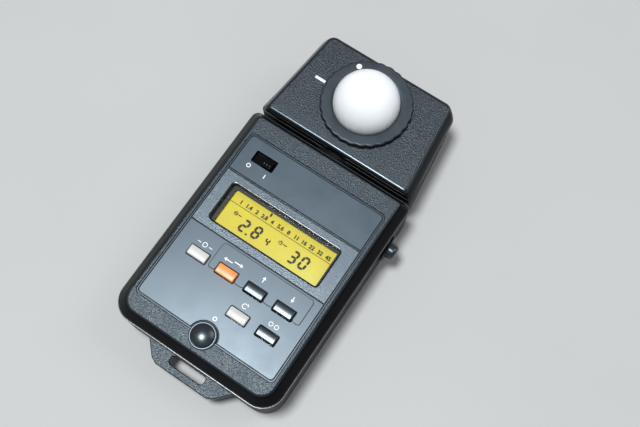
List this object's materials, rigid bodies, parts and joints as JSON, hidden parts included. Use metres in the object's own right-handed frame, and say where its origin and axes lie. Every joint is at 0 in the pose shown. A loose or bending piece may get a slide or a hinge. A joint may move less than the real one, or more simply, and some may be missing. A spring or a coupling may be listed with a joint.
{
  "type": "handheld light meter",
  "caption": "Handheld incident light meter: flat body with a display and keys, and a swivelling head that carries a white dome on a turning ring.",
  "frame": {"origin": "centre of the body's flat back face, on the surface that the meter lies on", "axes": "+Z out of the front face, +Y along the body towards the swivelling head, +X towards the side with the measuring trigger"},
  "size_m": [0.0732, 0.1375, 0.0399],
  "materials": {
    "gloss_case": "smooth black moulding, slightly scuffed",
    "textured_case": "fine spark-eroded grain",
    "panel_satin": "satin blue-grey moulding",
    "clear_lens": "clear acrylic window",
    "lcd_glass": "clear display cell",
    "reflector_yellow": "yellow reflector film",
    "dark_plastic": "moulded dark plastic",
    "elastomer": "layered conductive elastomer",
    "circuit_board": "green solder mask",
    "chip_black": "moulded package",
    "capacitor_sleeve": "shrink sleeve",
    "trimmer_blue": "moulded blue plastic",
    "tin_plate": "tinned and plated steel",
    "key_cream": "cream key cap",
    "key_orange": "orange key cap",
    "key_black": "polished black cap",
    "collar_plastic": "polished dark collar",
    "contact_brass": "plated spring brass",
    "plate_grey": "blank brushed plate",
    "cable_grey": "ribbon cable",
    "socket_cream": "connector body",
    "mark_white": "white fill",
    "ring_plastic": "moulded ring",
    "opal_white": "translucent opal",
    "filter_blue": "colour correction glass",
    "silicon_cell": "silicon die behind glass"
  },
  "bodies": {
    "body": {"rear_case": "gloss_case", "front_case": "textured_case", "front_panel": "panel_satin", "key_surround": "panel_satin", "window_lens": "clear_lens", "lcd_frame": "dark_plastic", "lcd_glass": "lcd_glass", "lcd_reflector": "reflector_yellow", "zebra_strips": "elastomer", "main_board": "circuit_board", "processor_chip": "chip_black", "amplifier_chips": "chip_black", "capacitors": "capacitor_sleeve", "trimmers": "trimmer_blue", "key_switches": "tin_plate", "power_switch": "dark_plastic", "memory_collar": "collar_plastic", "measure_collar": "collar_plastic", "measure_spring": "tin_plate", "measure_switch": "dark_plastic", "strap_lug": "textured_case", "battery": "tin_plate", "battery_plus_contact": "contact_brass", "battery_minus_contact": "contact_brass", "battery_spring": "tin_plate", "rating_plate": "plate_grey", "case_screws": "tin_plate", "board_screws": "tin_plate", "neck_washer": "tin_plate", "cable_socket": "socket_cream"},
    "head": {"neck_tube": "dark_plastic", "neck_collar": "dark_plastic", "neck_retainer": "tin_plate", "neck_screws": "tin_plate", "head_cable": "cable_grey", "head_front_case": "textured_case", "head_rear_case": "gloss_case", "head_screws": "tin_plate", "index_mark": "mark_white", "dome_mount": "dark_plastic", "cell_holder": "dark_plastic", "colour_filter": "filter_blue", "photocell": "silicon_cell", "sensor_board": "circuit_board"},
    "dome_turn": {"dome_ring": "ring_plastic", "dome": "opal_white", "index_dot": "mark_white"},
    "measure_button": {"measure_button": "key_black"},
    "power_slider": {"power_slider": "key_black"},
    "battery_cover": {"battery_cover": "gloss_case"},
    "memory_clear_key": {"memory_clear_key": "key_cream"},
    "mode_key": {"mode_key": "key_orange"},
    "up_key": {"up_key": "key_black"},
    "down_key": {"down_key": "key_black"},
    "recall_key": {"recall_key": "key_cream"},
    "units_key": {"units_key": "key_black"},
    "memory_key": {"memory_key": "key_black"}
  },
  "joints": [
    {"name": "head_swivel", "type": "hinge", "parent": "body", "child": "head", "pos_m": [0, 0.0459, 0.012], "axis": [0, 1, 0], "range_deg": [-90, 180]},
    {"name": "dome_turn", "type": "hinge", "parent": "head", "child": "dome_turn", "pos_m": [0, 0.06745, 0.0254], "axis": [0, 0, 1], "range_deg": [0, 47]},
    {"name": "measure_press", "type": "slide", "parent": "body", "child": "measure_button", "axis": [-1, 0, 0], "range_m": [0, 0.0012], "stiffness_N_per_m": 700, "springref_m": -0.0008, "deforming": ["measure_spring"]},
    {"name": "power_slide", "type": "slide", "parent": "body", "child": "power_slider", "axis": [1, 0, 0], "range_m": [-0.004, 0]},
    {"name": "cover_slide", "type": "slide", "parent": "body", "child": "battery_cover", "axis": [0, -1, 0], "range_m": [0, 0.02]},
    {"name": "memory_clear_key_press", "type": "slide", "parent": "body", "child": "memory_clear_key", "axis": [0, 0, -1], "range_m": [0, 0.0008], "stiffness_N_per_m": 900, "springref_m": -0.0006},
    {"name": "mode_key_press", "type": "slide", "parent": "body", "child": "mode_key", "axis": [0, 0, -1], "range_m": [0, 0.0008], "stiffness_N_per_m": 900, "springref_m": -0.0006},
    {"name": "up_key_press", "type": "slide", "parent": "body", "child": "up_key", "axis": [0, 0, -1], "range_m": [0, 0.0008], "stiffness_N_per_m": 900, "springref_m": -0.0006},
    {"name": "down_key_press", "type": "slide", "parent": "body", "child": "down_key", "axis": [0, 0, -1], "range_m": [0, 0.0008], "stiffness_N_per_m": 900, "springref_m": -0.0006},
    {"name": "recall_key_press", "type": "slide", "parent": "body", "child": "recall_key", "axis": [0, 0, -1], "range_m": [0, 0.0008], "stiffness_N_per_m": 900, "springref_m": -0.0006},
    {"name": "units_key_press", "type": "slide", "parent": "body", "child": "units_key", "axis": [0, 0, -1], "range_m": [0, 0.0008], "stiffness_N_per_m": 900, "springref_m": -0.0006},
    {"name": "memory_key_press", "type": "slide", "parent": "body", "child": "memory_key", "axis": [0, 0, -1], "range_m": [0, 0.0008], "stiffness_N_per_m": 900, "springref_m": -0.0006}
  ]
}
